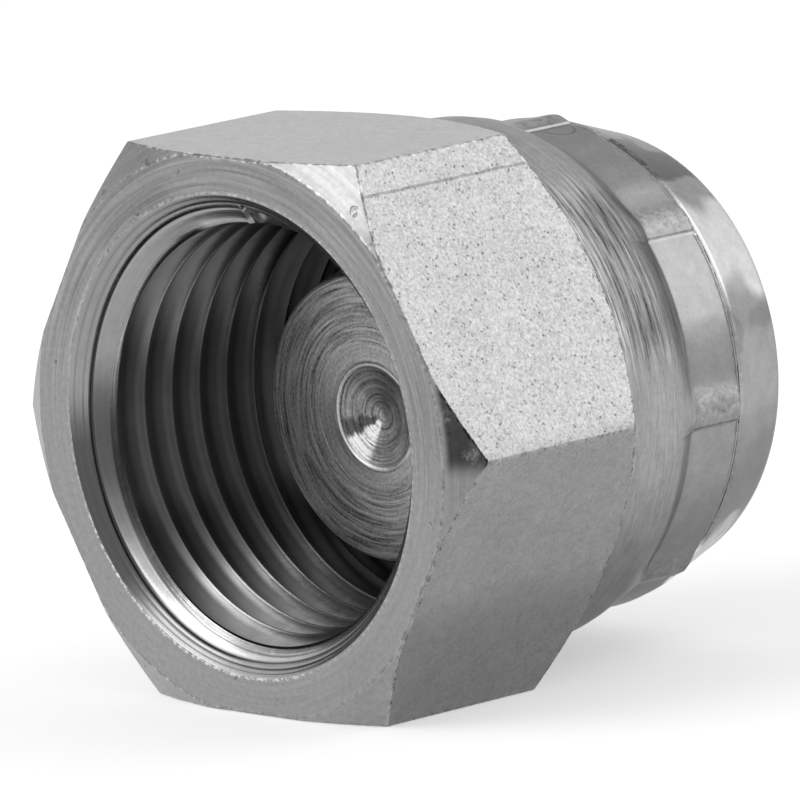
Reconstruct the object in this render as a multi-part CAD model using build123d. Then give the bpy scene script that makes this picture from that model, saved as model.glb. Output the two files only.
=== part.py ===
from build123d import *
from math import asin, cos, degrees, radians, sqrt, tan
import os

# A blanking cap for a hydraulic fitting: a swivel nut whose skirt is crimped over a loose, solid plug.
# The nut's axis is Y. The mouth is at Y = 0 and opens towards -Y. One flat of the hexagon lies level below.

# Hexagon
ACROSS_FLATS = 22.0
CORNER_LENGTH = 9.05  # mouth face to where the back chamfer cuts the hexagon's corners
FACE_RADIUS = 11.2  # turned circle on the mouth face
FACE_CHAMFER_DEG = 33.4  # against the mouth face
BACK_CHAMFER_DEG = 41.4  # against the mouth face

# Thread and mouth
THREAD_RADIUS = 9.0  # major radius
THREAD_PITCH = 1.5
MOUTH_RADIUS = 9.62
LEAD_RADIUS = 9.1  # where the steep lead-in meets the flatter one
LEAD_DEPTH = 0.48
BORE_START = 1.06  # where the flatter lead-in meets the thread's crests
CLEAR_END = 6.95  # the mate's end reaches the plug's nose here, and its thread goes on around it
THREAD_END = 12.6

# Neck and crimped skirt
NECK_RADIUS = 10.55
SKIRT_START = 13.6  # floor of the skirt's counterbore
SKIRT_WALL = 1.15  # under a pressed pad
CRIMP_START = 13.75
CRIMP_SLOPE_LENGTH = 1.35
PAD_RADIUS = 9.86
RIDGE_HEIGHT = 0.24  # of the metal left standing between two jaws
CREASE_DEPTH = 0.17
CREASE_WIDTH = 0.36
CRIMP_END = 17.8  # bottom of the crease between the pads and the lip
JAW_COUNT = 8
JAW_GAP_DEG = 8.0
FIRST_GAP_DEG = 36.6  # from +X towards +Z

# Turned-in lip
NUT_LENGTH = 21.25
LIP_TAPER_DEG = 17.5
LIP_ROUND = 0.9
LIP_SEAT = 18.3  # where the skirt's bore starts to close behind the plug
LIP_SEAT_DEG = 45.0
LIP_HOLE_RADIUS = 7.6
LIP_HOLE_CHAMFER = 0.3

# Plug
NOSE_DEPTH = 7.4  # mouth face to the plug's nose, on its axis
NOSE_RADIUS = 5.75
NOSE_EDGE = 0.12
CONE_DEG = 24.0  # whole angle of the sealing cone
CENTRE_RADIUS = 2.07
CENTRE_POINT_DEG = 150.0  # whole angle of the drilled centre
BEAD_CHAMFER_DEG = 45.0
BACK_RADIUS = 7.3  # flat back, inside the chamfer that the lip closes over

# How the loose plug sits in the crimp
RADIAL_PLAY = 0.25  # bead to skirt, all round, when centred
AXIAL_PLAY = 0.5  # bead to floor and lip seat
PLUG_DROP = 0.1  # the bead lies this much below the nut's axis
REST_GAP = 0.06  # left between the bead and what it leans on

# Sizes that follow
CORNER_RADIUS = ACROSS_FLATS / sqrt(3)
THREAD_DEPTH = THREAD_PITCH * 5 / 8 * cos(radians(30))
CREST_RADIUS = THREAD_RADIUS - THREAD_DEPTH
PITCH_RADIUS = THREAD_RADIUS - THREAD_PITCH * 3 / 8 * cos(radians(30))
SKIRT_BORE_RADIUS = PAD_RADIUS - SKIRT_WALL
BEAD_RADIUS = SKIRT_BORE_RADIUS - RADIAL_PLAY
OUTSIDE = 2 * CORNER_RADIUS  # clear of the nut all round, for cutting shapes


def turned(points, sweep_deg=360.0):
    """A solid turned about the Y axis from (radius, depth) points."""
    outline = Polyline(*points, close=True)
    return revolve(make_face(outline), Axis.Y, sweep_deg)


def around_axis(shape, angle_deg):
    """The shape turned about the nut's axis, from +X towards +Z."""
    return Rot(0, -angle_deg, 0) * shape


def rise(run, angle_deg):
    return run * tan(radians(angle_deg))


def hexagon():
    """The spanner flats, with their corners turned off to cones at both ends."""
    face_rise = rise(CORNER_RADIUS - FACE_RADIUS, FACE_CHAMFER_DEG)
    back_rise = rise(CORNER_RADIUS - NECK_RADIUS, BACK_CHAMFER_DEG)
    length = CORNER_LENGTH + back_rise
    bar = extrude(Plane.XZ * RegularPolygon(ACROSS_FLATS / 2, 6, major_radius=False), -length)
    envelope = turned(
        [
            (0, 0),
            (FACE_RADIUS, 0),
            (CORNER_RADIUS, face_rise),
            (CORNER_RADIUS, CORNER_LENGTH),
            (NECK_RADIUS, length),
            (0, length),
        ]
    )
    return bar & envelope


def lip_radius(depth):
    """Outside radius of the lip's taper at a depth."""
    return PAD_RADIUS - rise(depth - CRIMP_END, LIP_TAPER_DEG)


def skirt_blank():
    """Neck, uncut crimp band and lip, as a solid bar."""
    half = CREASE_WIDTH / 2
    ridge = PAD_RADIUS + RIDGE_HEIGHT
    outline = Polyline(
        (0, 0),
        (NECK_RADIUS, 0),
        (NECK_RADIUS, CRIMP_START),
        (ridge, CRIMP_START + CRIMP_SLOPE_LENGTH),
        (ridge, CRIMP_END - half),
        (PAD_RADIUS - CREASE_DEPTH, CRIMP_END),
        (lip_radius(CRIMP_END + half), CRIMP_END + half),
        (lip_radius(NUT_LENGTH), NUT_LENGTH),
        (0, NUT_LENGTH),
        close=True,
    )
    section = make_face(outline)
    lip_corner = section.vertices().filter_by_position(Axis.Y, NUT_LENGTH, NUT_LENGTH).sort_by(Axis.X)[-1]
    return revolve(fillet(lip_corner, LIP_ROUND), Axis.Y)


def jaw_pads():
    """What the eight jaws press away: one pad each, with a ridge left between neighbours."""
    half = CREASE_WIDTH / 2
    step_deg = 360.0 / JAW_COUNT
    pad = turned(
        [
            (NECK_RADIUS, CRIMP_START),
            (PAD_RADIUS, CRIMP_START + CRIMP_SLOPE_LENGTH),
            (PAD_RADIUS, CRIMP_END - half),
            (PAD_RADIUS - CREASE_DEPTH, CRIMP_END),
            (OUTSIDE, CRIMP_END),
            (OUTSIDE, CRIMP_START),
        ],
        step_deg - JAW_GAP_DEG,
    )
    # the turned pad runs from +X towards -Z, so it ends where its gap starts
    return [around_axis(pad, FIRST_GAP_DEG + step_deg * jaw) for jaw in range(JAW_COUNT)]


def bore():
    """Lead-in, thread, and the skirt's counterbore that closes behind the plug.

    The thread's turns are left out: it is held at its crests down to the plug's nose, and at its pitch radius
    around the nose.
    """
    seat_rise = (SKIRT_BORE_RADIUS - LIP_HOLE_RADIUS) / tan(radians(LIP_SEAT_DEG))
    return turned(
        [
            (0, 0),
            (MOUTH_RADIUS, 0),
            (LEAD_RADIUS, LEAD_DEPTH),
            (CREST_RADIUS, BORE_START),
            (CREST_RADIUS, CLEAR_END),
            (PITCH_RADIUS, CLEAR_END),
            (PITCH_RADIUS, THREAD_END),
            (CREST_RADIUS, THREAD_END),
            (CREST_RADIUS, SKIRT_START),
            (SKIRT_BORE_RADIUS, SKIRT_START),
            (SKIRT_BORE_RADIUS, LIP_SEAT),
            (LIP_HOLE_RADIUS, LIP_SEAT + seat_rise),
            (LIP_HOLE_RADIUS, NUT_LENGTH - LIP_HOLE_CHAMFER),
            (LIP_HOLE_RADIUS + LIP_HOLE_CHAMFER, NUT_LENGTH),
            (0, NUT_LENGTH),
        ]
    )


def swivel_nut():
    return hexagon() + skirt_blank() - jaw_pads() - bore()


def bead_span():
    """The bead's start, the cone's radius there, and where the bead is full and starts to fall."""
    start = SKIRT_START + AXIAL_PLAY
    cone_end = NOSE_RADIUS + rise(start - NOSE_DEPTH, CONE_DEG / 2)
    full = start + (BEAD_RADIUS - cone_end) / tan(radians(BEAD_CHAMFER_DEG))
    fall = LIP_SEAT + RADIAL_PLAY / tan(radians(LIP_SEAT_DEG)) - AXIAL_PLAY
    return start, cone_end, full, fall


def plug_on_axis():
    """The plug as it would lie if it were centred in the nut."""
    start, cone_end, full, fall = bead_span()
    back = fall + (BEAD_RADIUS - BACK_RADIUS) / tan(radians(LIP_SEAT_DEG))
    centre_depth = CENTRE_RADIUS / tan(radians(CENTRE_POINT_DEG / 2))
    return turned(
        [
            (0, NOSE_DEPTH + centre_depth),
            (CENTRE_RADIUS, NOSE_DEPTH),
            (NOSE_RADIUS - NOSE_EDGE, NOSE_DEPTH),
            (NOSE_RADIUS, NOSE_DEPTH + NOSE_EDGE),
            (cone_end, start),
            (BEAD_RADIUS, full),
            (BEAD_RADIUS, fall),
            (BACK_RADIUS, back),
            (0, back),
        ]
    )


def plug_lean_deg():
    """How far the loose plug leans nose-down before its bead meets the skirt or the lip seat."""
    _, _, full, fall = bead_span()
    by_radius = (RADIAL_PLAY - PLUG_DROP - REST_GAP) / ((fall - full) / 2)
    by_depth = (AXIAL_PLAY - PLUG_DROP - REST_GAP) / BEAD_RADIUS
    return degrees(asin(min(by_radius, by_depth)))


def sealing_plug():
    """The plug as it rests: low in its play, and leaning nose-down about the middle of its bead."""
    _, _, full, fall = bead_span()
    middle = (full + fall) / 2
    return Pos(0, middle, -PLUG_DROP) * Rot(plug_lean_deg(), 0, 0) * Pos(0, -middle, 0) * plug_on_axis()


NODES = {
    "swivel_nut": swivel_nut,
    "sealing_plug": sealing_plug,
}

os.makedirs("parts", exist_ok=True)
for name, build in NODES.items():
    export_step(build(), f"parts/{name}.step")
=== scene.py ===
from math import atan, cos, pi, radians, sin, sqrt, tan

import bmesh
import bpy
import numpy as np
from mathutils import Matrix, Vector


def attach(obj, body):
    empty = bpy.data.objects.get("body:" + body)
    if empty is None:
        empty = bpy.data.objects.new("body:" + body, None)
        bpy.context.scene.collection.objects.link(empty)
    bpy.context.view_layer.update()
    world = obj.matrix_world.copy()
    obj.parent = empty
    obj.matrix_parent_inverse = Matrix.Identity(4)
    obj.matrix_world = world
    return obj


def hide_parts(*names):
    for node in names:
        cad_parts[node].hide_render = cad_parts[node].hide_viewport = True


# A hydraulic blanking cap: a swivel nut crimped over a loose plug. The nut's axis is Y, and its mouth is at
# Y = 0 and opens towards -Y. Angles around the axis are in degrees, from +X towards +Z. Lengths are in
# millimetres until a mesh is made.

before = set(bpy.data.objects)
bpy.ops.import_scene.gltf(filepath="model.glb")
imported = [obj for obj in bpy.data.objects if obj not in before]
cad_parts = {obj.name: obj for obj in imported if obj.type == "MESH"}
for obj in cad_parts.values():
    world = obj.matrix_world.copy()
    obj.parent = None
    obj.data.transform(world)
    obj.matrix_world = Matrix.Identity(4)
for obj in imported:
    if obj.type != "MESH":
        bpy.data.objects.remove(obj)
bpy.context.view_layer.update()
MM = 0.001
WELD = 2e-7  # metres within which the nut's points are joined
NO_LENGTH = 1e-7  # metres below which an edge is dropped

# Hexagon
HALF_FLAT = 11.0
CORNER_RADIUS = HALF_FLAT * 2 / sqrt(3)
CORNER_ROUND = 0.13
CORNER_LENGTH = 9.05  # mouth face to where the back chamfer cuts the corners
FACE_RADIUS = 11.2  # turned circle on the mouth face
FACE_SLOPE = tan(radians(33.4))
BACK_SLOPE = tan(radians(41.4))
CHAMFER_WIDTH = 0.09  # kept where a flat cuts into the turned face
CHAMFER_DEPTH = 0.07

# Thread and mouth
THREAD_RADIUS = 9.0
PITCH = 1.5
CREST_RADIUS = THREAD_RADIUS - PITCH * 5 / 8 * cos(radians(30))
MOUTH_RADIUS = 9.5
LEAD_SLOPE = 1.0
LEAD_START = 0.09  # depth of the lead-in's first row
LEAD_DEPTH = 0.54  # where the lead-in ends, at the least
LEAD_EXTRA = 0.16  # how much deeper it ends at the angle below
LEAD_DEEPEST = 140.0
LEAD_SPREAD = 110.0  # degrees from there to where it is at the least
BAND_LENGTH = 0.45  # of the plain band after the lead-in, where it is steep
BAND_FOOT = 0.04  # how far that steep band ends from the crests' radius
HELIX_START = 0.8  # the rows follow the helix from here
HELIX_END = 12.75
THREAD_END = 12.6
THREAD_FADE = 0.9  # length over which the grooves run out at the inner end
CREST_DEPTH = 1.38  # where a crest ends at the angle below, read from the photograph
CREST_ANGLE = 169.0
LEAD_LENGTH = 1.38  # the plain band has come down to the crests here
NICK_ANGLE = 87.7
NICK_DEPTH = 0.13
BURR_HEIGHT = 0.05
# (depth, radius, edge) of one pitch from a crest's end; the flank towards the mouth rolls over the crest
THREAD_PROFILE = [
    (0.0, CREST_RADIUS, 0.8),
    (0.025, CREST_RADIUS + 0.035, 0.0),
    (0.15, 8.45, 0.0),
    (0.30, 8.72, 0.0),
    (0.42, 8.93, 0.0),
    (0.50, 8.99, 0.0),
    (0.60, THREAD_RADIUS, 0.0),
    (0.70, 8.985, 0.0),
    (0.77, 8.93, 0.0),
    (0.90, 8.77, 0.0),
    (1.05, 8.575, 0.0),
    (1.18, 8.44, 0.0),
    (1.30, 8.335, 0.0),
    (1.40, 8.265, 0.0),
    (1.475, 8.215, 0.5),
]

# Neck, crimp and lip
NECK_RADIUS = 10.55
SKIRT_START = 13.6
SKIRT_BORE = 8.71
CRIMP_START = 13.75
CRIMP_SLOPE = 1.35
PAD_RADIUS = 9.86
RIDGE = 0.24  # height of the metal left standing between two jaws
CREASE_DEPTH = 0.17
CREASE_HALF = 0.18
CRIMP_END = 17.8
JAWS = 8
FIRST_GAP = 36.6
NUT_LENGTH = 21.25
LIP_SLOPE = tan(radians(17.5))
LIP_SEAT = 18.3
LIP_HOLE = 7.6
LIP_CHAMFER = 0.3

# Rounding of the nut's corners
ARC_SHARE = 0.42  # of the shorter run beside a corner, which its arc may take
GUARD_STEP = 0.16  # from an arc to its guard row, at most
SOFT_CORNER = 0.14  # a corner that is rounded more than this has no worn edge

# Plug, which leans nose-down about the middle of its bead
PLUG_SIDES = 240
PLUG_PIVOT = 16.72
PLUG_DROP = 0.1
PLUG_LEAN = 2.3033
NOSE_DROP = 0.47  # of the nose's centre below the nut's axis, as the plug lies
NOSE_DEPTH = 7.4
NOSE_RADIUS = 5.75
CENTRE_RADIUS = 2.07
CENTRE_DEPTH = 0.555
BEAD_START = 14.1
BEAD_FOOT = 7.174
BEAD_FULL = 15.386
BEAD_FALL = 18.05
BEAD_RADIUS = 8.46
PLUG_BACK = 19.21
BACK_RADIUS = 7.3


def smooth(x):
    x = np.clip(x, 0.0, 1.0)
    return x * x * (3 - 2 * x)


def from_corner(angle):
    """Degrees past the nearest corner of the hexagon. Its corners are at 0, 60, 120 and so on."""
    return np.mod(angle + 30, 60) - 30


def hex_radius(angle):
    """Radius of the hexagon at an angle, its corners slightly rounded."""
    turn = np.radians(from_corner(angle))
    plain = HALF_FLAT / np.cos(np.radians(30) - np.abs(turn))
    centre = (HALF_FLAT - CORNER_ROUND) / cos(radians(30))
    limit = atan(CORNER_ROUND / 2 / (centre + CORNER_ROUND * cos(radians(30))))
    side = np.clip(CORNER_ROUND ** 2 - (centre * np.sin(turn)) ** 2, 0, None)
    rounded = centre * np.cos(turn) + np.sqrt(side)
    return np.where(np.abs(turn) < limit, rounded, plain)


def from_gap(angle):
    """Degrees past a gap between two jaws, from a little before it to a little before the next."""
    return np.mod(angle - FIRST_GAP + 4, 360 / JAWS) - 4


def ridge_share(angle):
    """How far the metal between two jaws stands up: a small crisp step, a low bulge, and a soft fall."""
    turn = from_gap(angle)
    step = 0.4 * smooth(turn / 0.5 + 0.5)
    bulge = smooth(turn / 3.6) * 0.6
    fall = smooth((12.5 - turn) / 9.0)
    return np.clip(step + bulge, 0, 1) * fall


def column_angles():
    """Angles of the nut's columns: every two degrees, and closer at the corners, the gaps and the nick."""
    angles = list(np.arange(0, 360, 2.0))
    for corner in range(0, 360, 60):
        angles += [corner + d for d in (-1.3, -0.8, -0.45, -0.3, -0.15, 0, 0.15, 0.3, 0.45, 0.8, 1.3)]
    for jaw in range(JAWS):
        centre = FIRST_GAP + jaw * 360 / JAWS
        angles += [centre + d for d in (-0.9, -0.3, -0.15, 0, 0.15, 0.3, 0.62, 1.0, 1.6)]
    angles += list(np.arange(NICK_ANGLE - 3, NICK_ANGLE + 4, 0.5))
    angles = np.unique(np.round(np.mod(angles, 360), 2))
    # a column too close to the one before is left out
    keep = [0]
    for i in range(1, len(angles)):
        if angles[i] - angles[keep[-1]] > 0.12:
            keep.append(i)
    return angles[keep]


def guard_row(end, towards, span, cut):
    """A row a little past the end of a corner's arc, which keeps the run beyond it plain."""
    step = np.minimum(np.minimum(GUARD_STEP, 0.3 * (span - cut)), 0.5 * cut + 0.05)
    return end + towards / span * step


def soften(keys):
    """Rows of a profile from its corner points.

    keys are (radius, depth, rounding, name of the run that follows); radius and depth are arrays over the
    columns. Each corner becomes a short arc between two guard rows. Returns the rows, and each row's run and
    edge value.
    """
    rows, runs, edges = [], [], []

    def add(row, run, edge=0.0):
        rows.append(row)
        runs.append(run)
        edges.append(edge)

    points = [np.stack([key[0], key[1]], axis=-1) for key in keys]
    for i, (_, _, rounding, run) in enumerate(keys):
        here = points[i]
        if i == 0 or i == len(keys) - 1:
            add(here, run)
            continue
        last_run = keys[i - 1][3]
        before, after = points[i - 1] - here, points[i + 1] - here
        long_before = np.linalg.norm(before, axis=-1, keepdims=True)
        long_after = np.linalg.norm(after, axis=-1, keepdims=True)
        cut = np.minimum(rounding, ARC_SHARE * np.minimum(long_before, long_after))
        start = here + before / long_before * cut
        end = here + after / long_after * cut
        add(guard_row(start, before, long_before, cut), last_run)
        for t in (0.0, 0.3, 0.7, 1.0):
            arc = start * (1 - t) ** 2 + here * 2 * t * (1 - t) + end * t ** 2
            worn = 0.0 if rounding > SOFT_CORNER else 1.0 if 0 < t < 1 else 0.55
            add(arc, last_run if t < 0.5 else run, worn)
        add(guard_row(end, after, long_after, cut), run)
    return rows, runs, edges


def outside_rows(angle):
    """The nut's outside from the mouth's edge to the lip, and back inside to the thread's inner end."""
    hexed = hex_radius(angle)
    face = np.minimum(FACE_RADIUS, hexed - CHAMFER_WIDTH)
    chamfer = np.maximum((hexed - FACE_RADIUS) * FACE_SLOPE, CHAMFER_DEPTH)
    back = CORNER_LENGTH + (CORNER_RADIUS - hexed) * BACK_SLOPE
    neck = CORNER_LENGTH + (CORNER_RADIUS - NECK_RADIUS) * BACK_SLOPE
    band = PAD_RADIUS + RIDGE * ridge_share(angle)
    lip = PAD_RADIUS - CREASE_HALF * LIP_SLOPE
    end = PAD_RADIUS - (NUT_LENGTH - CRIMP_END) * LIP_SLOPE
    seat = LIP_SEAT + SKIRT_BORE - LIP_HOLE
    lead = MOUTH_RADIUS - LEAD_START * LEAD_SLOPE
    corners = [
        (lead, LEAD_START, 0, "lead"),
        (MOUTH_RADIUS, 0, 0.05, "face"),
        (face, 0, 0.035, "face"),
        (hexed, chamfer, 0.05, "flat"),
        (hexed, back, 0.06, "back"),
        (NECK_RADIUS, neck, 0.12, "neck"),
        (NECK_RADIUS, CRIMP_START, 0.55, "crimp"),
        (band, CRIMP_START + CRIMP_SLOPE, 0.16, "crimp"),
        (band, CRIMP_END - CREASE_HALF, 0.1, "crease"),
        (PAD_RADIUS - CREASE_DEPTH, CRIMP_END, 0.05, "crease"),
        (lip, CRIMP_END + CREASE_HALF, 0.1, "lip"),
        (end, NUT_LENGTH, 0.62, "lip"),
        (LIP_HOLE + LIP_CHAMFER, NUT_LENGTH, 0.1, "lip"),
        (LIP_HOLE, NUT_LENGTH - LIP_CHAMFER, 0.08, "inside"),
        (LIP_HOLE, seat, 0.1, "inside"),
        (SKIRT_BORE, LIP_SEAT, 0.1, "inside"),
        (SKIRT_BORE, SKIRT_START, 0.08, "inside"),
        (CREST_RADIUS, SKIRT_START, 0.08, "thread"),
        (CREST_RADIUS, HELIX_END, 0, "thread"),
    ]
    return soften([(radius + 0 * angle, depth + 0 * angle, rounding, run)
                   for radius, depth, rounding, run in corners])


def lead_end(angle):
    """Depth where the lead-in ends, read from the photograph: deepest at the upper left."""
    away = np.minimum(np.abs(np.mod(angle - LEAD_DEEPEST + 180, 360) - 180), LEAD_SPREAD)
    return LEAD_DEPTH + LEAD_EXTRA * (0.5 + 0.5 * np.cos(np.pi * away / LEAD_SPREAD))


def first_crest(angle):
    """Depth where the first crest ends. It falls by one pitch over the turn that starts at the nick."""
    return CREST_DEPTH - PITCH * (np.mod(angle - NICK_ANGLE, 360) + NICK_ANGLE - CREST_ANGLE) / 360


def helix_rows(angle):
    """Rows that follow the thread, held between the lead-in and the thread's inner end."""
    rows, edges = [], []
    begin = CREST_DEPTH - PITCH * (angle - CREST_ANGLE) / 360
    for turn in range(-1, 9):
        for shift, _, edge in THREAD_PROFILE:
            depth = np.clip(begin + shift + turn * PITCH, HELIX_START, HELIX_END)
            rows.append(np.stack([thread_radius(angle, depth), depth], axis=-1))
            edges.append(edge * (depth > HELIX_START + 0.02))
    return rows, edges


def thread_radius(angle, depth):
    """Radius of the bore at an angle and depth: the lead-in, the plain band after it, or the thread."""
    begin = first_crest(angle)
    phase = np.mod(depth - begin, PITCH)
    shifts = [shift for shift, _, _ in THREAD_PROFILE] + [PITCH]
    radii = [radius for _, radius, _ in THREAD_PROFILE] + [CREST_RADIUS]
    groove = np.interp(phase, shifts, radii) - CREST_RADIUS
    fade = smooth((THREAD_END - depth) / THREAD_FADE)
    # the first groove ends at the nick within a few degrees
    starts = smooth((360 - np.mod(angle - NICK_ANGLE, 360)) / 4)
    threaded = CREST_RADIUS + groove * fade * np.where(depth < begin + PITCH, starts, 1.0)
    cone = MOUTH_RADIUS - depth * LEAD_SLOPE
    corner = lead_end(angle)
    corner_radius = MOUTH_RADIUS - corner * LEAD_SLOPE
    # the band runs to the crests, and is short and steep over the first 98 degrees, which take in the nick
    even = smooth((angle - 98) / 27)
    reach = corner + BAND_LENGTH + (np.minimum(begin, LEAD_LENGTH) - corner - BAND_LENGTH) * even
    reach = np.maximum(np.minimum(reach, begin), corner + 0.1)
    foot = CREST_RADIUS + BAND_FOOT * (1 - even)
    band = corner_radius - (corner_radius - foot) * (depth - corner) / (reach - corner)
    past = np.clip((depth - reach) / np.maximum(begin - reach, 0.05), 0, 1)
    band = np.where(depth > reach, foot - (foot - CREST_RADIUS) * past, band)
    band = np.where(depth > corner, band, 0)
    return np.maximum(cone, np.where(depth < begin, band, threaded))


def lead_rows(angle):
    """The lead-in from the helix's first row back to the mouth, with tool lines and a groove at its end."""
    corner = lead_end(angle)
    # (depth, extra radius, run); the depths follow the lead-in's end
    steps = [
        (corner + (HELIX_START - corner) * 0.6, 0.0, "band"),
        (corner + 0.045, 0.0, "band"),
        (corner + 0.025, 0.1, "groove"),
        (corner - 0.015, 0.13, "groove"),
        (corner - 0.045, 0.05, "lead"),
        (corner - 0.07, 0.0, "lead"),
        (corner * 0.66, 0.0, "lead"),
        (corner * 0.62, 0.014, "line"),
        (corner * 0.56, 0.016, "line"),
        (corner * 0.52, 0.0, "lead"),
        (corner * 0.38, 0.0, "lead"),
        (0.16 + 0 * angle, 0.006, "line"),
        (0.13 + 0 * angle, 0.006, "line"),
        (0.11 + 0 * angle, 0.0, "lead"),
    ]
    deep = 0.12 + 0.88 * smooth((100 - np.abs(angle - 182)) / 45)
    rows, runs = [], []
    for depth, extra, run in steps:
        radius = thread_radius(angle, depth) + extra * (deep if extra > 0.03 else 1.0)
        rows.append(np.stack([radius, depth], axis=-1))
        runs.append(run)
    return rows, runs


def nick(angle, rows):
    """The torn start of the thread near the top: a nick across the plain band, and a burr beside it."""
    for row in rows:
        depth = row[:, 1]
        inside = smooth((depth - 0.5) / 0.08) * smooth((1.75 - depth) / 0.2)
        lean = angle - NICK_ANGLE - (depth - 0.9) * 2.5
        row[:, 0] += NICK_DEPTH * inside * np.exp(-(lean / 0.55) ** 2)
        row[:, 0] -= BURR_HEIGHT * inside * np.exp(-((lean - 1.4) / 0.5) ** 2)


# Runs of the nut's profile, in the order of its material slots
RUNS = ["face", "flat", "back", "neck", "crimp", "crease", "lip",
        "inside", "thread", "band", "groove", "line", "lead"]


def step_light_line(angle):
    """1 on the painted highlight along the small step that a jaw's corner left at each gap, and -1 on the
    painted shadow beside it.
    """
    turn = from_gap(angle)
    return np.clip(1 - np.abs(turn) / 0.3, 0, 1) - np.clip(1 - np.abs(turn - 0.62) / 0.4, 0, 1)


def add_layer(mesh, name, values):
    """A value at each point, which the materials read."""
    layer = mesh.attributes.new(name, "FLOAT", "POINT")
    layer.data.foreach_set("value", np.array(values, dtype=np.float32).reshape(-1))


def finish_mesh(mesh, weld):
    """Turns the faces outwards and shades them smooth; weld first joins points that coincide."""
    work = bmesh.new()
    work.from_mesh(mesh)
    if weld:
        bmesh.ops.remove_doubles(work, verts=work.verts, dist=WELD)
        bmesh.ops.dissolve_degenerate(work, edges=work.edges, dist=NO_LENGTH)
    bmesh.ops.recalc_face_normals(work, faces=work.faces)
    work.to_mesh(mesh)
    work.free()
    for polygon in mesh.polygons:
        polygon.use_smooth = True


def build_nut():
    """One closed surface: rows of points over the columns, from the mouth's edge around to the lead-in."""
    angle = column_angles()
    rows, runs, edges = outside_rows(angle)
    helix, helix_edges = helix_rows(angle)
    nick(angle, helix)
    inner = helix[::-1]
    lead, lead_runs = lead_rows(angle)
    nick(angle, lead)
    first_inner = len(rows)
    rows += inner + lead
    runs += ["thread"] * len(inner) + lead_runs
    edges += helix_edges[::-1] + [0.0] * len(lead)
    last_inner = first_inner + len(inner) - 1
    count, wide = len(rows), len(angle)
    table = np.stack(rows)
    turn = np.radians(angle)
    x = table[:, :, 0] * np.cos(turn)
    z = table[:, :, 0] * np.sin(turn)
    vertices = np.stack([x, table[:, :, 1], z], axis=-1).reshape(-1, 3) * MM
    index = np.arange(count * wide).reshape(count, wide)

    def at(row, column):
        """A vertex; past the last column the helix's rows go on one turn further."""
        if column < wide:
            return int(index[row, column])
        if first_inner <= row <= last_inner:
            row = min(row + len(THREAD_PROFILE), last_inner)
        return int(index[row, 0])

    faces, slots = [], []
    for row in range(count):
        following = (row + 1) % count
        run = runs[row] if row + 1 < count else "lead"
        for column in range(wide):
            faces.append([at(row, column), at(row, column + 1), at(following, column + 1),
                          at(following, column)])
            slots.append(RUNS.index(run))
    # the corners between two flats are worn too
    column_edge = np.clip(1.0 - np.abs(from_corner(angle)) / 0.75, 0, 1)
    edge_values = np.stack([edge + 0 * angle for edge in edges])
    for row in range(count):
        if runs[row] == "flat":
            edge_values[row] = np.maximum(edge_values[row], 0.5 * column_edge)
    mesh = bpy.data.meshes.new("nut_body")
    mesh.from_pydata(vertices.tolist(), [], faces)
    add_layer(mesh, "edge", edge_values)
    add_layer(mesh, "ridge", np.tile(ridge_share(angle), count))
    # painted highlight and shadow lines beside the step at each jaw gap
    add_layer(mesh, "step_light", np.tile(step_light_line(angle), count))
    mesh.polygons.foreach_set("material_index", slots)
    finish_mesh(mesh, True)
    return mesh


def plug_profile():
    """(radius, depth) points of the plug on its own axis, from the nose's centre to the back's centre."""
    slope = (BEAD_FOOT - NOSE_RADIUS) / (BEAD_START - NOSE_DEPTH)
    points = [(0.0, NOSE_DEPTH + CENTRE_DEPTH)]
    for share in (0.04, 0.1, 0.2, 0.35, 0.5, 0.65, 0.8, 0.92):
        points.append((CENTRE_RADIUS * share, NOSE_DEPTH + CENTRE_DEPTH * (1 - share)))
    points += [
        (CENTRE_RADIUS - 0.03, NOSE_DEPTH + 0.02),
        (CENTRE_RADIUS, NOSE_DEPTH - 0.012),
        (CENTRE_RADIUS + 0.035, NOSE_DEPTH - 0.02),
        (CENTRE_RADIUS + 0.08, NOSE_DEPTH - 0.008),
        (CENTRE_RADIUS + 0.14, NOSE_DEPTH),
    ]
    for radius in np.linspace(CENTRE_RADIUS + 0.4, NOSE_RADIUS - 0.4, 9):
        points.append((float(radius), NOSE_DEPTH))
    points += [
        (NOSE_RADIUS - 0.2, NOSE_DEPTH),
        (NOSE_RADIUS - 0.12, NOSE_DEPTH),
        (NOSE_RADIUS - 0.05, NOSE_DEPTH + 0.025),
        (NOSE_RADIUS - 0.01, NOSE_DEPTH + 0.08),
        (NOSE_RADIUS + 0.13 * slope, NOSE_DEPTH + 0.14),
        (NOSE_RADIUS + 0.4 * slope, NOSE_DEPTH + 0.4),
        (BEAD_FOOT - 0.3 * slope, BEAD_START - 0.3),
        (BEAD_FOOT - 0.02, BEAD_START - 0.05),
        (BEAD_FOOT + 0.06, BEAD_START + 0.06),
        (BEAD_RADIUS - 0.15, BEAD_FULL - 0.15),
        (BEAD_RADIUS - 0.03, BEAD_FULL - 0.01),
        (BEAD_RADIUS, BEAD_FULL + 0.1),
        (BEAD_RADIUS, BEAD_FALL - 0.1),
        (BEAD_RADIUS - 0.03, BEAD_FALL + 0.02),
        (BEAD_RADIUS - 0.12, BEAD_FALL + 0.12),
        (BACK_RADIUS + 0.12, PLUG_BACK - 0.12),
        (BACK_RADIUS + 0.02, PLUG_BACK - 0.03),
        (BACK_RADIUS - 0.06, PLUG_BACK),
    ]
    for radius in np.linspace(BACK_RADIUS - 0.3, 0.6, 10):
        points.append((float(radius), PLUG_BACK))
    points += [(0.2, PLUG_BACK), (0.0, PLUG_BACK)]
    return points


def plug_place():
    """From the plug on the nut's axis to the plug as it lies: low in its play, and leaning nose-down."""
    lean = Matrix.Rotation(radians(PLUG_LEAN), 4, "X")
    down = Matrix.Translation(Vector((0, PLUG_PIVOT, -PLUG_DROP)) * MM)
    return down @ lean @ Matrix.Translation(Vector((0, -PLUG_PIVOT, 0)) * MM)


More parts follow.
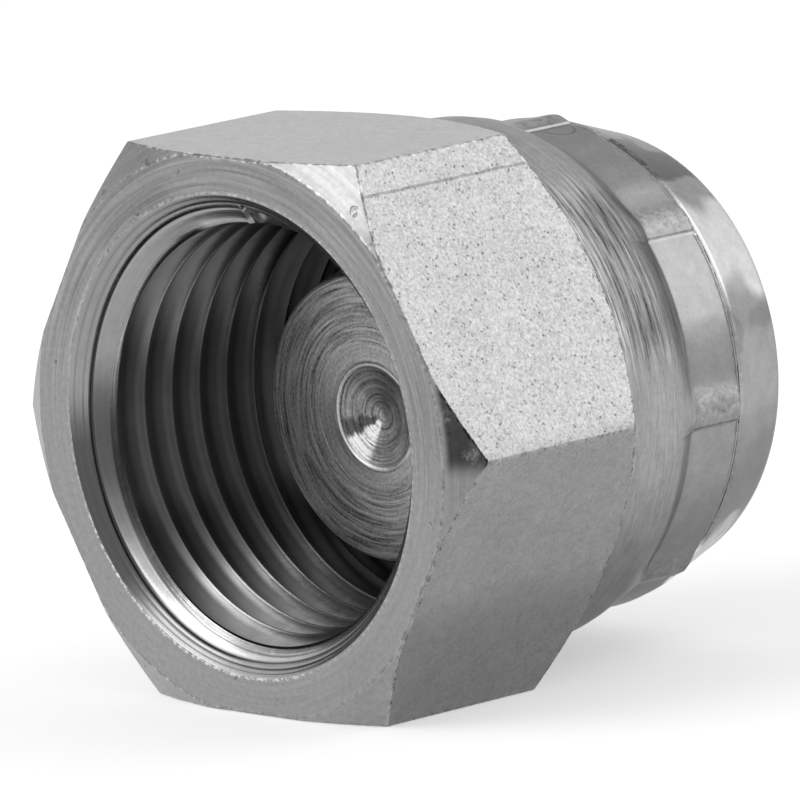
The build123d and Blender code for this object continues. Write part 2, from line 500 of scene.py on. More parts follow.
def build_plug():
    """The plug's profile turned about its own axis. Its material slots are 0 nose, 1 side and 2 back."""
    profile = plug_profile()
    place = plug_place()
    vertices, rings, starts = [], [], []
    for radius, depth in profile:
        starts.append(len(vertices))
        for side in range(PLUG_SIDES if radius > 0 else 1):
            turn = 2 * pi * side / PLUG_SIDES
            vertices.append(place @ (Vector((radius * cos(turn), depth, radius * sin(turn))) * MM))
            rings.append(radius)
    faces, slots = [], []
    for row in range(len(profile) - 1):
        low, high = starts[row], starts[row + 1]
        radius, depth = profile[row]
        nose = depth < NOSE_DEPTH + 0.6 and radius < NOSE_RADIUS - 0.08
        back = depth > PLUG_BACK - 0.01
        for side in range(PLUG_SIDES):
            after = (side + 1) % PLUG_SIDES
            if radius == 0:
                faces.append([low, high + side, high + after])
            elif profile[row + 1][0] == 0:
                faces.append([low + side, high, low + after])
            else:
                faces.append([low + side, high + side, high + after, low + after])
            slots.append(0 if nose else 2 if back else 1)
    mesh = bpy.data.meshes.new("plug_turned")
    mesh.from_pydata([tuple(v) for v in vertices], [], faces)
    add_layer(mesh, "ring", rings)
    mesh.polygons.foreach_set("material_index", slots)
    finish_mesh(mesh, False)
    return mesh


class Graph:
    """Short calls that add and join nodes in one material."""

    def __init__(self, name):
        self.material = bpy.data.materials.new(name)
        self.material.use_nodes = True
        self.tree = self.material.node_tree
        self.shader = self.tree.nodes["Principled BSDF"]

    def node(self, kind, **values):
        made = self.tree.nodes.new(kind)
        for key, value in values.items():
            setattr(made, key, value)
        return made

    def put(self, socket, value):
        if isinstance(value, bpy.types.NodeSocket):
            self.tree.links.new(value, socket)
        else:
            socket.default_value = value

    def math(self, operation, a, b=0.0, c=0.0):
        made = self.node("ShaderNodeMath", operation=operation)
        self.put(made.inputs[0], a)
        self.put(made.inputs[1], b)
        self.put(made.inputs[2], c)
        return made.outputs[0]

    def vector(self, x, y, z):
        made = self.node("ShaderNodeCombineXYZ")
        for socket, value in zip(made.inputs, (x, y, z)):
            self.put(socket, value)
        return made.outputs[0]

    def scaled(self, vector, by):
        made = self.node("ShaderNodeVectorMath", operation="MULTIPLY")
        self.put(made.inputs[0], vector)
        self.put(made.inputs[1], by)
        return made.outputs[0]

    def noise(self, vector, scale=1.0, detail=2.0, roughness=0.5):
        made = self.node("ShaderNodeTexNoise", noise_dimensions="3D")
        self.put(made.inputs["Vector"], vector)
        made.inputs["Scale"].default_value = scale
        made.inputs["Detail"].default_value = detail
        made.inputs["Roughness"].default_value = roughness
        return made.outputs["Fac"]

    def cells(self, vector, scale=1.0):
        made = self.node("ShaderNodeTexVoronoi", feature="F1")
        self.put(made.inputs["Vector"], vector)
        made.inputs["Scale"].default_value = scale
        return made.outputs["Distance"]

    def ramp(self, value, low, high, to_low=0.0, to_high=1.0):
        made = self.node("ShaderNodeMapRange", clamp=True, interpolation_type="SMOOTHSTEP")
        for socket, number in zip(made.inputs[:5], (value, low, high, to_low, to_high)):
            self.put(socket, number)
        return made.outputs[0]

    def attribute(self, name):
        return self.node("ShaderNodeAttribute", attribute_name=name).outputs["Fac"]

    def place(self):
        """Object coordinates in millimetres."""
        return self.scaled(self.node("ShaderNodeTexCoord").outputs["Object"], (1000, 1000, 1000))

    def parts(self, vector):
        made = self.node("ShaderNodeSeparateXYZ")
        self.put(made.inputs[0], vector)
        return made.outputs

    def grey(self, value):
        made = self.node("ShaderNodeCombineColor")
        for socket in made.inputs[:3]:
            self.put(socket, value)
        return made.outputs[0]

    def bump(self, height, distance):
        made = self.node("ShaderNodeBump")
        made.inputs["Strength"].default_value = 1.0
        made.inputs["Distance"].default_value = distance * MM
        self.put(made.inputs["Height"], height)
        return made.outputs[0]

    def rest(self, value):
        """What a value leaves of 1."""
        return self.math("SUBTRACT", 1.0, value)


def length(graph, a, b):
    squares = graph.math("ADD", graph.math("MULTIPLY", a, a), graph.math("MULTIPLY", b, b))
    return graph.math("SQRT", squares)


def around(graph, place):
    """Radius from the nut's axis, the unit direction around it, and the depth."""
    x, y, z = graph.parts(place)
    radius = length(graph, x, z)
    return radius, graph.math("DIVIDE", x, radius), graph.math("DIVIDE", z, radius), y


def sector(graph, cx, cz, centre, inner, outer):
    """1 within inner degrees of an angle around the axis, 0 beyond outer degrees."""
    along = graph.math("ADD", graph.math("MULTIPLY", cx, cos(radians(centre))),
                       graph.math("MULTIPLY", cz, sin(radians(centre))))
    return graph.ramp(along, cos(radians(outer)), cos(radians(inner)))


def sideways(graph, x, z, angle):
    """How far a point lies to the side of the direction at an angle around the axis."""
    return graph.math("ADD", graph.math("MULTIPLY", x, -sin(radians(angle))),
                      graph.math("MULTIPLY", z, cos(radians(angle))))


def ring_noise(graph, x, ring, z, turn, step, detail, roughness):
    """Noise drawn out into rings: turn is its scale along a ring, and step its scale from ring to ring."""
    place = graph.vector(graph.math("MULTIPLY", x, turn), graph.math("MULTIPLY", ring, step),
                         graph.math("MULTIPLY", z, turn))
    return graph.noise(place, 1.0, detail, roughness)


def tones(graph, cx, cz, patches, share=1.0):
    """A factor of painted light and shade: steel drawn duller or brighter over parts of the turn, as the
    table lists them.
    """
    tone = 1.0
    for centre, inner, outer, factor in patches:
        patch = graph.math("MULTIPLY", sector(graph, cx, cz, centre, inner, outer), share)
        tone = graph.math("MULTIPLY", tone, graph.math("MULTIPLY_ADD", patch, factor - 1, 1.0))
    return tone


def product(graph, *values):
    made = values[0]
    for value in values[1:]:
        made = graph.math("MULTIPLY", made, value)
    return made


def total(graph, *values):
    added = values[0]
    for value in values[1:]:
        added = graph.math("ADD", added, value)
    return added


def painted(graph, cx, cz, **shares):
    """The painted light and shade of several parts of a surface, each over its own share of it."""
    return product(graph, *[tones(graph, cx, cz, PAINTED_LIGHT[part], share) for part, share in shares.items()])


def centred(graph, value, by):
    """A 0 to 1 pattern turned into one about zero, by times as strong."""
    return graph.math("MULTIPLY", graph.math("SUBTRACT", value, 0.5), by)


# Greys of the steel
STEEL = 0.34
DARKEST = 0.015
# Light and shade that the studio's lamps and floor leave on each part, painted into the steel's grey as
# (centre, inner, outer, factor). The factor is full within inner degrees of the centre, and gone beyond
# outer degrees of it.
PAINTED_LIGHT = {
    "flats": [(-52, 4, 24, 0.7), (-30, 28, 33, 0.8)],
    "face": [(122, 6, 18, 0.85), (20, 15, 40, 0.92), (262, 22, 44, 1.1), (90, 20, 40, 0.94)],
    "chamfer": [(120, 10, 18, 0.88), (60, 8, 16, 1.16), (-12, 10, 20, 0.9)],
    "turned": [(31, 12, 23, 0.55), (14, 2, 10, 0.85), (0, 6, 22, 1.05), (168, 14, 34, 0.6),
               (262, 10, 30, 0.6)],
    "back": [(20, 30, 50, 0.72)],
    "below": [(-58, 12, 44, 0.69)],
    "pressed": [(8, 6, 10, 0.78), (27, 10, 14, 0.95), (41.5, 3, 5, 0.9), (66, 8, 20, 0.76), (84, 6, 14, 0.9),
                (-10, 6, 10, 0.93)],
    "lip": [(2, 6, 12, 1.15), (14, 2, 5, 0.8), (34, 10, 17, 2.1), (61, 6, 11, 0.4), (-27, 10, 20, 0.82),
            (-52, 6, 12, 2.6), (200, 10, 24, 0.5)],
    "cone": [(205, 15, 33, 0.3), (110, 15, 40, 1.05), (264, 18, 40, 1.15)],
    "band": [(184, 5, 22, 0.55), (193, 8, 24, 0.6), (236, 12, 26, 1.5), (266, 22, 34, 1.7),
             (110, 30, 60, 1.12)],
    "wedge": [(78, 5, 9, 2.2)],
    "torn": [(235, 35, 55, 0.6), (206, 20, 34, 0.45)],
    "tear": [(235, 35, 55, 0.5)],
    "threads": [(140, 22, 45, 0.6), (98, 10, 26, 1.7)],
    "inner": [(97, 8, 15, 2.5)],
    "flank": [(198, 30, 56, 0.34), (234, 20, 32, 0.45), (266, 8, 20, 1.2)],
    "crest": [(194, 16, 38, 0.36), (252, 14, 26, 2.2)],
    "deep": [(256, 34, 54, 0.1)],
    "groove": [(182, 50, 84, 0.3)],
    "line": [(203, 15, 33, 0.4)],
    "inside": [],
    "drilled": [(233, 9, 26, 3.0), (200, 7, 19, 0.25), (150, 25, 45, 0.8), (85, 30, 60, 0.65),
                (275, 14, 28, 0.75)],
}


def finish(graph, colour, roughness, normal, metal=1.0):
    """Sets the shader; metal is None where the material has set that itself."""
    graph.put(graph.shader.inputs["Base Color"], graph.grey(graph.math("MAXIMUM", colour, DARKEST)))
    graph.put(graph.shader.inputs["Roughness"], roughness)
    if metal is not None:
        graph.shader.inputs["Metallic"].default_value = metal
    graph.put(graph.shader.inputs["Normal"], normal)
    return graph.material


def ringed(graph, amount):
    """Reflections drawn out across the turning marks, as the plug's turned ends have them."""
    graph.shader.inputs["Anisotropic"].default_value = amount
    tangent = graph.node("ShaderNodeTangent", direction_type="RADIAL", axis="Y")
    graph.put(graph.shader.inputs["Tangent"], tangent.outputs[0])


def worn_edge(graph, place, colour, bright, dark):
    """Dotted bright burr and dark nicks along the edges, most of all along the top and the lower left."""
    edge = graph.attribute("edge")
    _, cx, cz, _ = around(graph, place)
    burred = graph.math("MAXIMUM", sector(graph, cx, cz, 78, 24, 50), sector(graph, cx, cz, 232, 18, 45))
    burred = graph.math("MULTIPLY", edge, graph.math("MULTIPLY_ADD", burred, 0.75, 0.25))
    dots = graph.noise(place, 3.2, 3.0, 0.75)
    colour = graph.math("ADD", colour, product(graph, burred, graph.ramp(dots, 0.5, 0.62), bright))
    return graph.math("SUBTRACT", colour, product(graph, edge, graph.ramp(dots, 0.5, 0.40), dark))


def flat_steel():
    """Drawn flats under plating: clouded, and finely speckled with dark pits."""
    graph = Graph("drawn_flats")
    place = graph.place()
    x, _, z = graph.parts(place)
    _, cx, cz, y = around(graph, place)
    grain = graph.noise(place, 7.5, 3.0, 0.8)
    # two opposite flats are spotted more than the others
    spotted = graph.math("MAXIMUM", sector(graph, cx, cz, 30, 28, 34), sector(graph, cx, cz, 210, 28, 34))
    spotted = graph.math("MULTIPLY_ADD", spotted, 0.6, 0.4)
    pits = product(graph, graph.ramp(graph.cells(place, 4.6), 0.34, 0.14), spotted,
                   graph.ramp(graph.noise(place, 2.7, 2.0), 0.42, 0.6))
    cloud = graph.noise(place, 2.2, 4.0, 0.65)
    broad = graph.noise(place, 0.5, 3.0)
    pattern = total(graph, 1.0, centred(graph, broad, 0.2), centred(graph, cloud, 0.45),
                    product(graph, centred(graph, grain, 1.8), spotted), graph.math("MULTIPLY", pits, -0.45))
    # one fine scratch runs along the bar, 5.03 mm to the side of the middle of the flat at 30 degrees
    wander = centred(graph, graph.noise(graph.scaled(place, (0, 0.7, 0)), 1.0, 1.0), 0.12)
    across = graph.math("ADD", sideways(graph, x, z, 30), wander)
    off = graph.math("ABSOLUTE", graph.math("SUBTRACT", across, 5.03))
    scratch = product(graph, graph.ramp(off, 0.075, 0.02), sector(graph, cx, cz, 54.6, 3, 6),
                      graph.ramp(y, 10.4, 10.2))
    # the lower right flat and the corner below it are drawn darker as painted shade
    colour = product(graph, STEEL + 0.05, pattern, graph.math("MULTIPLY_ADD", scratch, -0.35, 1.0),
                     painted(graph, cx, cz, flats=1.0))
    colour = worn_edge(graph, place, colour, 0.3, 0.32)
    height = total(graph, grain, graph.math("MULTIPLY", pits, -0.6), graph.math("MULTIPLY", scratch, -0.8))
    return finish(graph, colour, 0.36, graph.bump(height, 0.015))


def turned_face():
    """Turning marks of two widths, strongest at the top and on the right, with a few dents, a dark patch on
    the chamfer, and painted light and shade over parts of the turn.
    """
    graph = Graph("turned_face")
    place = graph.place()
    radius, cx, cz, _ = around(graph, place)
    fine = ring_noise(graph, cx, radius, cz, 3.0, 11.0, 3.0, 0.6)
    bold = ring_noise(graph, cx, radius, cz, 1.1, 5.0, 3.0, 0.7)
    chamfer = graph.ramp(radius, FACE_RADIUS - 0.05, FACE_RADIUS + 0.15)
    strong = graph.math("MAXIMUM", sector(graph, cx, cz, 105, 45, 85), sector(graph, cx, cz, 25, 15, 45))
    lines = graph.math("ADD", centred(graph, fine, 0.6), centred(graph, bold, 0.8))
    lines = product(graph, lines, graph.math("ADD", 0.4, strong),
                    graph.math("MULTIPLY_ADD", chamfer, -0.4, 1.0))
    speck = graph.noise(place, 4.5, 3.0, 0.6)
    dents = graph.ramp(graph.noise(place, 1.7, 2.0, 0.5), 0.68, 0.74)
    # a dark patch on the chamfer at the right corner
    dark_patch = product(graph, sector(graph, cx, cz, 7, 6, 10.5),
                    graph.ramp(radius, FACE_RADIUS, FACE_RADIUS + 0.3),
                    graph.ramp(graph.noise(place, 1.6, 4.0, 0.7), 0.2, 0.5))
    colour = total(graph, STEEL - 0.045, graph.math("MULTIPLY", lines, 0.3), centred(graph, speck, 0.14),
                   graph.math("MULTIPLY", dents, -0.1))
    # painted light and shade on the face and its chamfer, with a painted highlight on the chamfer at the
    # upper right corner
    colour = product(graph, colour, graph.math("MULTIPLY_ADD", dark_patch, -0.8, 1.0),
                     painted(graph, cx, cz, face=1.0, chamfer=chamfer))
    colour = worn_edge(graph, place, colour, 0.3, 0.1)
    # burr left around the mouth
    rim = graph.math("MAXIMUM", sector(graph, cx, cz, 246, 34, 52), 0.3)
    rim = product(graph, rim, graph.ramp(radius, MOUTH_RADIUS + 0.2, MOUTH_RADIUS + 0.08),
                  graph.ramp(graph.noise(place, 5.0, 3.0, 0.7), 0.47, 0.56))
    colour = graph.math("MULTIPLY_ADD", rim, 0.36, colour)
    height = total(graph, lines, graph.math("MULTIPLY", dents, -1.5))
    return finish(graph, colour, 0.33, graph.bump(height, 0.014))


def skirt_steel():
    """Neck, crimp and lip: turning marks that end where the jaws pressed, smooth pads, and a glossy lip,
    with painted light and shade over parts of the turn.
    """
    graph = Graph("neck_and_skirt")
    place = graph.place()
    x, _, z = graph.parts(place)
    radius, cx, cz, y = around(graph, place)
    streaks = graph.noise(graph.scaled(place, (0.35, 7.0, 0.35)), 1.0, 4.0, 0.75)
    fine = graph.noise(graph.scaled(place, (1.5, 16.0, 1.5)), 1.0, 2.0, 0.6)
    pad_start = CRIMP_START + CRIMP_SLOPE
    pad = graph.ramp(y, pad_start - 0.15, pad_start)
    lip = graph.ramp(y, CRIMP_END, CRIMP_END + 0.1)
    turned = graph.rest(pad)
    pressed = graph.math("SUBTRACT", pad, lip)
    # turning marks are coarse over part of the turn, and fine elsewhere; painted shade darkens the neck over
    # that part too
    patch = 0.0
    for spread in ((32, 15, 28), (168, 14, 34), (262, 10, 30)):
        patch = graph.math("MAXIMUM", patch, sector(graph, cx, cz, *spread))
    marks = product(graph, turned, graph.math("ADD", 0.15, patch))
    cloud = graph.noise(place, 1.1, 5.0, 0.65)
    grain = graph.noise(place, 6.0, 3.0, 0.7)
    wrinkle = graph.noise(place, 3.2, 4.0, 0.7)
    ridge = product(graph, graph.attribute("ridge"), pressed)
    # where a jaw's corner left a small step, a painted highlight line with a painted shadow line beside it,
    # which show plainly at two of the gaps
    plain = graph.math("MAXIMUM", sector(graph, cx, cz, FIRST_GAP, 3, 8),
                       sector(graph, cx, cz, FIRST_GAP - 360 / JAWS, 3, 8))
    step_light = product(graph, graph.attribute("step_light"), pressed, graph.math("MULTIPLY_ADD", plain, 0.8, 0.2))
    pattern = total(graph, 1.0, product(graph, centred(graph, streaks, 4.0), marks),
                    centred(graph, cloud, 0.5),
                    product(graph, centred(graph, fine, 0.6), turned), centred(graph, grain, 0.35),
                    product(graph, ridge, centred(graph, wrinkle, 1.8)),
                    graph.math("MULTIPLY", graph.math("MAXIMUM", step_light, 0.0), 1.8),
                    graph.math("MULTIPLY", graph.math("MINIMUM", step_light, 0.0), 0.6))
    # the neck past the hexagon's back chamfer, and that chamfer, which get painted light and shade
    neck = graph.math("MULTIPLY", turned, graph.ramp(y, 10.7, 12.0))
    back = graph.ramp(radius, NECK_RADIUS + 0.03, NECK_RADIUS + 0.17)
    # the lip's painted highlights and shade have uneven edges
    uneven = centred(graph, graph.noise(place, 0.4, 1.0, 0.4), 0.2)
    # painted light and shade on the neck, the back chamfer, the skirt's lower side, the pads and the lip
    colour = product(graph, STEEL - 0.01, pattern,
                     painted(graph, cx, cz, turned=neck, back=back, below=graph.rest(lip), pressed=pressed),
                     painted(graph, cx, graph.math("ADD", cz, uneven), lip=lip))
    # a small hooked scratch on a pad: part of a ring, drawn around a point at 80.3 degrees and 16.6 mm deep
    around_mm = sideways(graph, x, z, 80.3)
    reach = length(graph, around_mm, graph.math("SUBTRACT", y, 16.6))
    hook = graph.ramp(graph.math("ABSOLUTE", graph.math("SUBTRACT", reach, 0.74)), 0.07, 0.02)
    hook = product(graph, hook, graph.ramp(around_mm, 0.05, -0.1), sector(graph, cx, cz, 80, 8, 10))
    colour = graph.math("MULTIPLY", colour, graph.math("MULTIPLY_ADD", hook, -0.4, 1.0))
    colour = worn_edge(graph, place, colour, 0.06, 0.06)
    height = total(graph, product(graph, streaks, marks), product(graph, ridge, wrinkle, 2.4),
                   graph.math("MULTIPLY", cloud, 0.5), graph.math("MULTIPLY", hook, -1.0))
    rough = graph.math("SUBTRACT", 0.3, graph.math("MULTIPLY", lip, 0.06))
    graph.shader.inputs["Specular Tint"].default_value = (0.65, 0.65, 0.65, 1)
    return finish(graph, colour, rough, graph.bump(height, 0.02))


def bore_steel():
    """Lead-in and thread: painted highlights on the lead-in and low down, painted shade deeper in, and less
    metal where the painted grey stands in for mirrored dark.
    """
    graph = Graph("cut_thread")
    place = graph.place()
    radius, cx, cz, y = around(graph, place)
    # along is how far past the first crest's end a point lies, and phase is where in its pitch
    turn = graph.math("SUBTRACT", graph.math("ARCTAN2", cz, cx), radians(NICK_ANGLE))
    turn = graph.math("FLOORED_MODULO", turn, 2 * pi)
    at_nick = CREST_DEPTH + PITCH * (CREST_ANGLE - NICK_ANGLE) / 360
    along = graph.math("SUBTRACT", y, graph.math("MULTIPLY_ADD", turn, -PITCH / (2 * pi), at_nick))
    phase = graph.math("FLOORED_MODULO", along, PITCH)
    cut = ring_noise(graph, cx, radius, cz, 1.5, 14.0, 3.0, 0.6)
    cloud = graph.noise(place, 1.6, 4.0, 0.65)
    burr = graph.ramp(graph.noise(place, 3.2, 3.0, 0.7), 0.56, 0.66)
    # the thread's flanks and crests, past the last turn that shows, the lead-in's cone, and the plain band
    threads = graph.ramp(along, -0.02, 0.03)
    flank = graph.math("MULTIPLY", threads, graph.ramp(phase, 1.36, 1.12))
    crest = graph.math("SUBTRACT", threads, flank)
    deep = graph.ramp(along, 5 * PITCH - 0.1, 5 * PITCH + 0.1)
    cone = graph.math("MULTIPLY", graph.ramp(radius, 8.9, 8.97), graph.rest(threads))
    band = graph.math("SUBTRACT", graph.rest(cone), threads)
    # a painted highlight on a wedge where the band starts beside the nick, and on the band's inner part
    wedge = graph.math("MULTIPLY", graph.ramp(radius, 9.12, 9.06), graph.ramp(y, 0.8, 0.7))
    inner = graph.math("MULTIPLY", band, graph.ramp(along, -0.75, -0.5))
    # the last of the band before the first crest's end is torn and streaked
    torn = product(graph, band, graph.ramp(along, -0.24, -0.2))
    tear = product(graph, band, graph.ramp(along, -0.27, -0.24), graph.ramp(along, -0.19, -0.22))
    streak = graph.noise(graph.vector(cx, graph.math("MULTIPLY", along, 11.0), cz), 1.4, 3.0, 0.7)
    # cut marks and clouds, a burr near the first crest, and a painted highlight along the crests' edges
    pattern = total(graph, 1.0, centred(graph, cut, 0.35), centred(graph, cloud, 0.35),
                    product(graph, burr, graph.ramp(along, 1.2, 0.2), graph.ramp(along, -0.4, 0.0), 0.35),
                    product(graph, graph.attribute("edge"), threads, 0.3))
    # painted light and shade: highlights on the lead-in, the band and the crests low down; shade on the
    # left, on the flanks towards the roots and deeper in; a flat grey past the last turn that shows
    colour = product(graph, STEEL - 0.04, pattern,
                     painted(graph, cx, cz, cone=cone, band=band, wedge=wedge, torn=torn, tear=tear,
                             threads=threads, inner=inner, flank=flank, crest=crest, deep=deep),
                     graph.math("MULTIPLY_ADD", torn, centred(graph, streak, 2.8), 1.0),
                     graph.math("MULTIPLY_ADD", threads, graph.ramp(phase, 0.8, 1.45, -0.4, 0.15), 1.0),
                     graph.ramp(y, 1.8, 8.5, 1.0, 0.6), graph.math("MULTIPLY_ADD", deep, 1.4, 1.0))
    # less metal on the left, past the last turn that shows, and on the band beside the nick, so these show
    # their painted light and shade in place of the dark they would mirror
    less_mirror = graph.math("MULTIPLY", threads, sector(graph, cx, cz, 194, 14, 46))
    less_mirror = graph.math("MAXIMUM", less_mirror, deep)
    less_mirror = graph.math("MAXIMUM", less_mirror, product(graph, inner, sector(graph, cx, cz, 97, 8, 15), 0.9))
    graph.put(graph.shader.inputs["Metallic"], graph.math("MULTIPLY_ADD", less_mirror, -0.85, 1.0))
    graph.shader.inputs["Specular IOR Level"].default_value = 0.1
    height = graph.math("ADD", cloud, product(graph, cut, graph.ramp(along, 0.1, -0.1)))
    return finish(graph, colour, 0.27, graph.bump(height, 0.01), None)


def plain_steel(name, part, tone, rough):
    """The lead-in's groove and tool lines, drawn darker on the left as painted shade, and the bore behind
    the thread.
    """
    graph = Graph(name)
    place = graph.place()
    _, cx, cz, _ = around(graph, place)
    cloud = graph.noise(place, 1.3, 4.0)
    # painted shade over part of the turn, from the part's tones
    colour = product(graph, graph.math("ADD", tone, centred(graph, cloud, 0.06)),
                     tones(graph, cx, cz, PAINTED_LIGHT[part]))
    return finish(graph, colour, rough, graph.bump(cloud, 0.01))


def plug_nose():
    """Fine, broken turning rings, a calmer band around the drilled centre, and in it a painted highlight
    streak with painted shade beside it.
    """
    graph = Graph("plug_nose")
    ring = graph.attribute("ring")
    place = graph.place()
    x, _, z = graph.parts(place)
    bent_x, _, bent_z = graph.parts(graph.scaled(place, (0.4, 0.0, 0.4)))
    fine = ring_noise(graph, bent_x, ring, bent_z, 1.0, 10.0, 2.0, 0.75)
    bold = ring_noise(graph, bent_x, ring, bent_z, 1.0, 4.0, 2.0, 0.6)
    grain = graph.noise(graph.scaled(place, (7.0, 0.0, 7.0)), 1.0, 3.0, 0.7)
    calm = graph.math("MULTIPLY", graph.ramp(ring, 2.2, 2.3), graph.ramp(ring, 3.1, 2.8))
    lines = graph.math("ADD", centred(graph, fine, 1.0), centred(graph, bold, 0.5))
    lines = graph.math("MULTIPLY", lines, graph.rest(graph.math("MULTIPLY", calm, 0.6)))
    # burr on the drilled centre's edge
    burr = graph.math("MULTIPLY", graph.ramp(ring, 2.0, 2.06), graph.ramp(ring, 2.2, 2.12))
    pattern = total(graph, 1.1, graph.math("MULTIPLY", lines, 3.4), centred(graph, grain, 1.9),
                    graph.math("MULTIPLY", calm, 0.15), graph.math("MULTIPLY", burr, 0.8),
                    graph.math("MULTIPLY", graph.ramp(ring, 4.6, 5.7), -0.05))
    # the painted reflections in the drilled centre waver from ring to ring around the nose's centre
    waver = centred(graph, ring_noise(graph, bent_x, ring, bent_z, 1.0, 3.0, 2.0, 0.5), 0.9)
    low = graph.math("MULTIPLY_ADD", waver, ring, graph.math("ADD", z, NOSE_DROP))
    reach = graph.math("MAXIMUM", length(graph, x, low), 0.01)
    drilled = graph.math("MULTIPLY", graph.ramp(ring, 2.02, 1.9), graph.ramp(ring, 0.2, 0.5))
    # painted highlight and painted shade in the drilled centre
    colour = product(graph, STEEL - 0.04, pattern,
                     painted(graph, graph.math("DIVIDE", x, reach), graph.math("DIVIDE", low, reach),
                             drilled=drilled))
    ringed(graph, 0.6)
    return finish(graph, colour, 0.3, graph.bump(lines, 0.012), 0.55)


def plug_side():
    """The cone and the bead, with turning marks around them."""
    graph = Graph("plug_side")
    place = graph.place()
    lines = graph.noise(graph.scaled(place, (0.25, 7.0, 0.25)), 1.0, 4.0, 0.65)
    colour = graph.math("ADD", STEEL - 0.06, centred(graph, lines, 0.1))
    return finish(graph, colour, 0.34, graph.bump(lines, 0.012))


def plug_back():
    """The closed back: turned in rings out from the centre, and dulled by handling."""
    graph = Graph("plug_back")
    ring = graph.attribute("ring")
    place = graph.place()
    x, _, z = graph.parts(graph.scaled(place, (0.3, 0.0, 0.3)))
    lines = ring_noise(graph, x, ring, z, 1.0, 6.0, 3.0, 0.65)
    cloud = graph.noise(place, 0.8, 4.0, 0.6)
    colour = total(graph, STEEL - 0.02, centred(graph, lines, 0.16), centred(graph, cloud, 0.08))
    ringed(graph, 0.4)
    return finish(graph, colour, 0.32, graph.bump(lines, 0.02))


def make_piece(mesh, name, body, node, materials):
    piece = bpy.data.objects.new(name, mesh)
    bpy.context.scene.collection.objects.link(piece)
    for material in materials:
        mesh.materials.append(material)
    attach(piece, body)
    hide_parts(node)


def make_object():
    face = turned_face()
    flat = flat_steel()
    skirt = skirt_steel()
    bore = bore_steel()
    groove = plain_steel("lead_in_groove", "groove", 0.26, 0.35)
    line = plain_steel("lead_in_lines", "line", 0.25, 0.3)
    inside = plain_steel("skirt_bore", "inside", 0.22, 0.4)
    by_run = {"face": face, "flat": flat, "back": skirt, "neck": skirt, "crimp": skirt, "crease": skirt,
              "lip": skirt, "inside": inside, "thread": bore, "band": bore, "groove": groove, "line": line,
              "lead": bore}
    make_piece(build_nut(), "nut_body", "nut", "swivel_nut", [by_run[run] for run in RUNS])
    make_piece(build_plug(), "plug_turned", "plug", "sealing_plug",
               [plug_nose(), plug_side(), plug_back()])


# The photograph's camera, fitted to the hexagon's corners and circles. DISTANCE, ASIDE and ABOVE are in
# widths across flats.
AZIMUTH = radians(45.80)
ELEVATION = radians(10.12)
ROLL = radians(-3.22)
DISTANCE = 25.418
ASIDE = -0.2844
ABOVE = -0.0648
LENS = 649.4
SENSOR = 36.0

# The floor's half width, and how far it lies below the cap, in metres
FLOOR_HALF = 1.2
FLOOR_GAP = 0.00002


def make_camera():
    """The camera looks along -back; the photograph's frame is set by its place, since it has no shift."""
    back = Vector((sin(AZIMUTH) * cos(ELEVATION), -cos(AZIMUTH) * cos(ELEVATION), sin(ELEVATION)))
    right = Vector((cos(AZIMUTH), sin(AZIMUTH), 0))
    up = back.cross(right)
    across = right * cos(ROLL) + up * sin(ROLL)
    above = up * cos(ROLL) - right * sin(ROLL)
    data = bpy.data.cameras.new("camera")
    data.sensor_width = SENSOR
    data.lens = LENS
    data.clip_start = 0.01
    data.clip_end = 20.0
    camera = bpy.data.objects.new("camera", data)
    place = (back * DISTANCE - across * ASIDE - above * ABOVE) * 2 * HALF_FLAT * MM
    turn = Matrix((across, above, back)).transposed().to_4x4()
    camera.matrix_world = Matrix.Translation(place) @ turn
    bpy.context.scene.collection.objects.link(camera)
    bpy.context.scene.camera = camera


def make_world(level):
    """Soft even light, and a white background for the camera and for what the metal mirrors."""
    world = bpy.data.worlds.new("studio")
    bpy.context.scene.world = world
    world.use_nodes = True
    tree = world.node_tree
    tree.nodes.clear()
    rays = tree.nodes.new("ShaderNodeLightPath")
    seen = tree.nodes.new("ShaderNodeMath")
    seen.operation = "MAXIMUM"
    mirrored = tree.nodes.new("ShaderNodeMath")
    mirrored.operation = "MAXIMUM"
    tree.links.new(rays.outputs["Is Glossy Ray"], mirrored.inputs[0])
    tree.links.new(rays.outputs["Is Transmission Ray"], mirrored.inputs[1])
    tree.links.new(rays.outputs["Is Camera Ray"], seen.inputs[0])
    tree.links.new(mirrored.outputs[0], seen.inputs[1])
    light = tree.nodes.new("ShaderNodeBackground")
    white = tree.nodes.new("ShaderNodeBackground")
    for background, strength in ((light, level), (white, 1.0)):
        background.inputs["Color"].default_value = (1, 1, 1, 1)
        background.inputs["Strength"].default_value = strength
    mix = tree.nodes.new("ShaderNodeMixShader")
    tree.links.new(seen.outputs[0], mix.inputs[0])
    tree.links.new(light.outputs[0], mix.inputs[1])
    tree.links.new(white.outputs[0], mix.inputs[2])
    out = tree.nodes.new("ShaderNodeOutputWorld")
    tree.links.new(mix.outputs[0], out.inputs["Surface"])


def make_lamp(name, towards, distance, size, watts):
    """A soft panel that looks at the cap's middle from a direction; distance and size are in metres."""
    data = bpy.data.lights.new(name, "AREA")
    data.shape = "RECTANGLE"
    data.size, data.size_y = size
    data.energy = watts
    lamp = bpy.data.objects.new(name, data)
    middle = Vector((0, 10, 0)) * MM
    direction = Vector(towards).normalized()
    lamp.location = middle + direction * distance
    lamp.rotation_euler = direction.to_track_quat("Z", "Y").to_euler()
    bpy.context.scene.collection.objects.link(lamp)


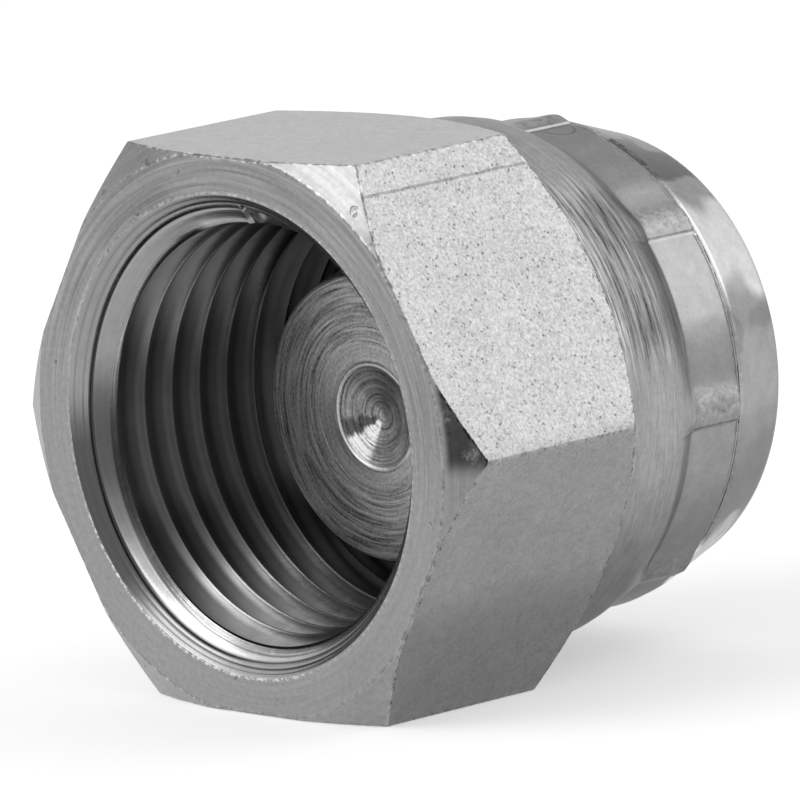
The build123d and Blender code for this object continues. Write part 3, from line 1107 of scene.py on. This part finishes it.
def make_floor():
    """A pale floor that fades into the white background, and keeps the cap's soft shadow."""
    mesh = bpy.data.meshes.new("floor")
    level = -HALF_FLAT * MM - FLOOR_GAP
    corners = [(-FLOOR_HALF, -FLOOR_HALF, level), (FLOOR_HALF, -FLOOR_HALF, level),
               (FLOOR_HALF, FLOOR_HALF, level), (-FLOOR_HALF, FLOOR_HALF, level)]
    mesh.from_pydata(corners, [], [(0, 1, 2, 3)])
    floor = bpy.data.objects.new("floor", mesh)
    bpy.context.scene.collection.objects.link(floor)
    graph = Graph("pale_floor")
    place = graph.place()
    cloud = graph.noise(place, 0.02, 2.0)
    graph.put(graph.shader.inputs["Base Color"], graph.grey(graph.ramp(cloud, 0.2, 0.8, 0.80, 0.82)))
    graph.shader.inputs["Roughness"].default_value = 0.9
    graph.shader.inputs["Specular IOR Level"].default_value = 0.1
    rays = graph.node("ShaderNodeLightPath").outputs
    seen = graph.math("MAXIMUM", rays["Is Camera Ray"],
                      graph.math("MAXIMUM", rays["Is Glossy Ray"], rays["Is Transmission Ray"]))
    graph.shader.inputs["Emission Color"].default_value = (1, 1, 1, 1)
    graph.put(graph.shader.inputs["Emission Strength"], graph.math("MULTIPLY", seen, 0.42))
    white = graph.node("ShaderNodeEmission")
    white.inputs["Strength"].default_value = 1.0
    mix = graph.node("ShaderNodeMixShader")
    x, y, _ = graph.parts(place)
    away = length(graph, x, y)
    graph.put(mix.inputs[0], graph.math("MULTIPLY", seen, graph.ramp(away, 60, 400)))
    graph.put(mix.inputs[1], graph.shader.outputs[0])
    graph.put(mix.inputs[2], white.outputs[0])
    out = next(node for node in graph.tree.nodes if node.type == "OUTPUT_MATERIAL")
    graph.put(out.inputs["Surface"], mix.outputs[0])
    mesh.materials.append(graph.material)


make_camera()
make_object()
make_world(0.55)
make_lamp("key", (0.505, 0.686, 0.523), 0.5, (0.42, 0.42), 0.5)
make_lamp("front", (-0.31, -0.715, 0.62), 0.5, (0.36, 0.38), 0.8)
make_floor()
bpy.context.scene.view_settings.view_transform = "Standard"
